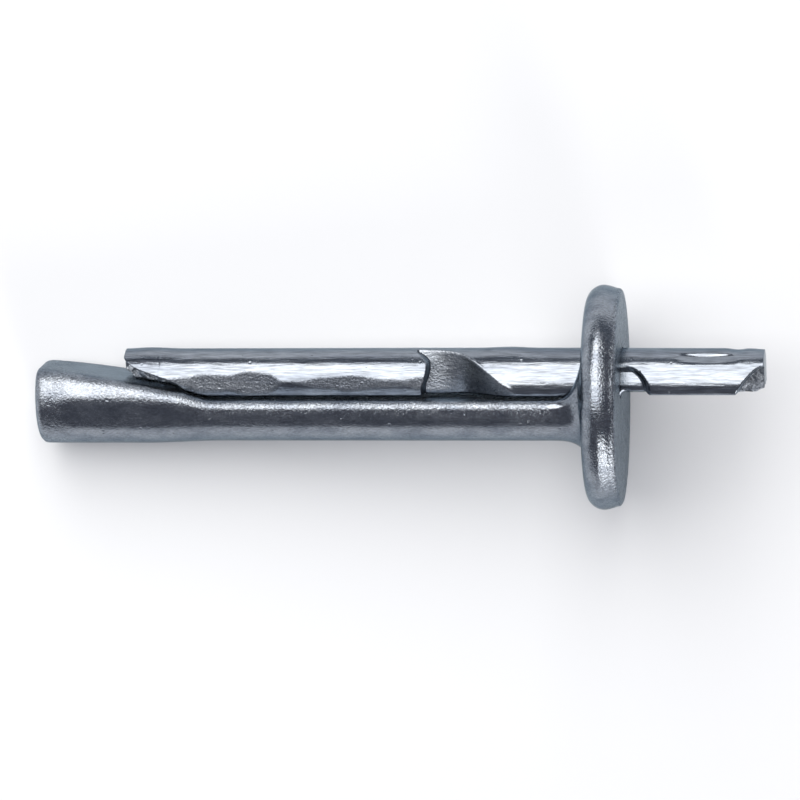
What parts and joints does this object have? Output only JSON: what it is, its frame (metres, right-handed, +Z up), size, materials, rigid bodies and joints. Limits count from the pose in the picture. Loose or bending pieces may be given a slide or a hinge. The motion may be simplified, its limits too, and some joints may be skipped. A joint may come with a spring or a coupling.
{
  "type": "hammer drive anchor",
  "caption": "Zinc-plated steel drive anchor: a disc head on a half-round shank with a ramped tip, and a notched D-section pin that is hammered in along its flat.",
  "frame": {"origin": "middle of the footprint on the surface that the anchor lies on", "axes": "+X along the shank from its tip towards the head and the struck end of the pin, +Y to the side that the shank's flat faces, +Z up as the anchor lies on the rim of its head and its tip"},
  "size_m": [0.047, 0.0144, 0.0144],
  "materials": {
    "body_steel": "bright blue-passivated zinc plating over cold-formed steel, finely grained",
    "pin_steel": "bright blue-passivated zinc plating over drawn wire, smooth, with pressed and sheared tool marks"
  },
  "bodies": {
    "root": {"anchor_body": "body_steel", "drive_pin": "pin_steel"}
  },
  "joints": []
}
